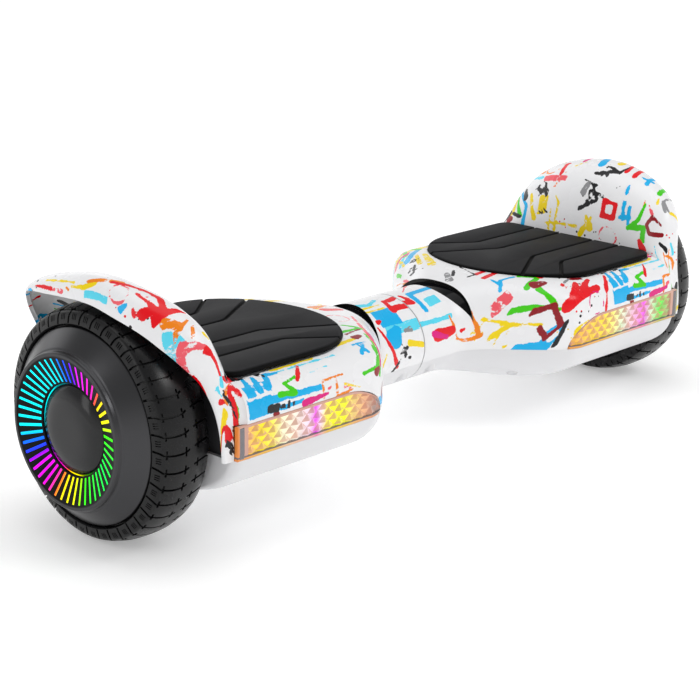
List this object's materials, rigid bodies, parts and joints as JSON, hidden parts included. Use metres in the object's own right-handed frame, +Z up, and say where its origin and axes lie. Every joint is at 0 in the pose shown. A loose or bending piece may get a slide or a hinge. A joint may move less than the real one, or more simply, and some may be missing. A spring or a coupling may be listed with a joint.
{
  "type": "self balancing hoverboard",
  "caption": "Two-wheeled self balancing board: two hinged halves with foot pads, hub-motor wheels, arched fenders and front lights.",
  "frame": {"origin": "on the ground, at the centre of the bounding box's base, below the centre of the neck seam", "axes": "+X along the wheel axles towards the rider's left foot, -Y towards the front lights, +Z up"},
  "size_m": [0.637, 0.1963, 0.185],
  "materials": {
    "printed_shell": "glossy white with a printed pattern",
    "white_shell": "semi-gloss plain white",
    "pad_rubber": "matt black rubber",
    "tyre_rubber": "matt black rubber",
    "hub_plastic": "satin dark grey",
    "cap_plastic": "satin dark grey",
    "wheel_light_diffuser": "translucent, lit",
    "headlight_lens": "clear faceted plastic",
    "headlight_reflector": "metallised",
    "led_chips": "lit",
    "smoked_window": "black gloss",
    "dark_screw": "zinc black",
    "steel": "turned steel",
    "bearing_steel": "ground steel",
    "cast_aluminium": "cast",
    "dark_chassis": "black coated casting",
    "motor_casing": "dark coated",
    "magnet_plating": "nickel plated",
    "stator_windings": "laminated steel with enamelled copper",
    "circuit_board": "solder resist",
    "battery_wrap": "shrink film",
    "strap_webbing": "woven",
    "nylon": "natural nylon",
    "wire_insulation": "silicone insulation",
    "black_plastic": "satin black",
    "button_metal": "satin metal",
    "cap_rubber": "matt black rubber"
  },
  "bodies": {
    "left_half": {"left_top_shell": "printed_shell", "left_bottom_shell": "white_shell", "left_sensor_board": "circuit_board", "left_chassis": "dark_chassis", "left_axle_clamp": "cast_aluminium", "left_clamp_screws": "steel", "left_axle": "steel", "left_stator": "stator_windings", "left_headlight_lens": "headlight_lens", "left_headlight_housing": "headlight_reflector", "left_headlight_leds": "led_chips", "left_indicator_window": "smoked_window", "left_shell_screws": "dark_screw", "pivot_tube": "steel", "pivot_retaining_ring": "dark_screw", "wire_harness": "wire_insulation", "main_board": "circuit_board", "power_bezel": "black_plastic", "charge_port": "black_plastic"},
    "right_half": {"right_top_shell": "printed_shell", "right_bottom_shell": "white_shell", "right_sensor_board": "circuit_board", "right_chassis": "dark_chassis", "right_axle_clamp": "cast_aluminium", "right_clamp_screws": "steel", "right_axle": "steel", "right_stator": "stator_windings", "right_headlight_lens": "headlight_lens", "right_headlight_housing": "headlight_reflector", "right_headlight_leds": "led_chips", "right_indicator_window": "smoked_window", "right_shell_screws": "dark_screw", "pivot_bushes": "nylon", "battery_pack": "battery_wrap", "battery_strap": "strap_webbing"},
    "left_wheel": {"left_motor_bell": "motor_casing", "left_motor_cover": "motor_casing", "left_magnets": "magnet_plating", "left_inner_bearing": "bearing_steel", "left_outer_bearing": "bearing_steel", "left_hub_cover": "hub_plastic", "left_wheel_light_ring": "wheel_light_diffuser", "left_wheel_led_board": "circuit_board", "left_centre_cap": "cap_plastic", "left_tyre": "tyre_rubber"},
    "right_wheel": {"right_motor_bell": "motor_casing", "right_motor_cover": "motor_casing", "right_magnets": "magnet_plating", "right_inner_bearing": "bearing_steel", "right_outer_bearing": "bearing_steel", "right_hub_cover": "hub_plastic", "right_wheel_light_ring": "wheel_light_diffuser", "right_wheel_led_board": "circuit_board", "right_centre_cap": "cap_plastic", "right_tyre": "tyre_rubber"},
    "left_pad": {"left_foot_pad": "pad_rubber"},
    "right_pad": {"right_foot_pad": "pad_rubber"},
    "power_key": {"power_button": "button_metal"},
    "port_cap": {"charge_cap": "cap_rubber"}
  },
  "joints": [
    {"name": "centre_pivot", "type": "hinge", "parent": "left_half", "child": "right_half", "pos_m": [0, 0, 0.0825], "axis": [1, 0, 0], "range_deg": [-12, 12]},
    {"name": "left_wheel_spin", "type": "hinge", "parent": "left_half", "child": "left_wheel", "pos_m": [0.28, 0, 0.0825], "axis": [1, 0, 0], "continuous": true},
    {"name": "right_wheel_spin", "type": "hinge", "parent": "right_half", "child": "right_wheel", "pos_m": [-0.28, 0, 0.0825], "axis": [1, 0, 0], "continuous": true},
    {"name": "left_pad_press", "type": "slide", "parent": "left_half", "child": "left_pad", "axis": [0, 0, -1], "range_m": [0, 0.0015], "stiffness_N_per_m": 20000},
    {"name": "right_pad_press", "type": "slide", "parent": "right_half", "child": "right_pad", "axis": [0, 0, -1], "range_m": [0, 0.0015], "stiffness_N_per_m": 20000},
    {"name": "power_button_press", "type": "slide", "parent": "left_half", "child": "power_key", "axis": [0, -1, 0], "range_m": [0, 0.001], "stiffness_N_per_m": 800},
    {"name": "charge_cap_flip", "type": "hinge", "parent": "left_half", "child": "port_cap", "pos_m": [0.14, 0.0971, 0.0759], "axis": [-1, 0, 0], "range_deg": [0, 110]}
  ]
}
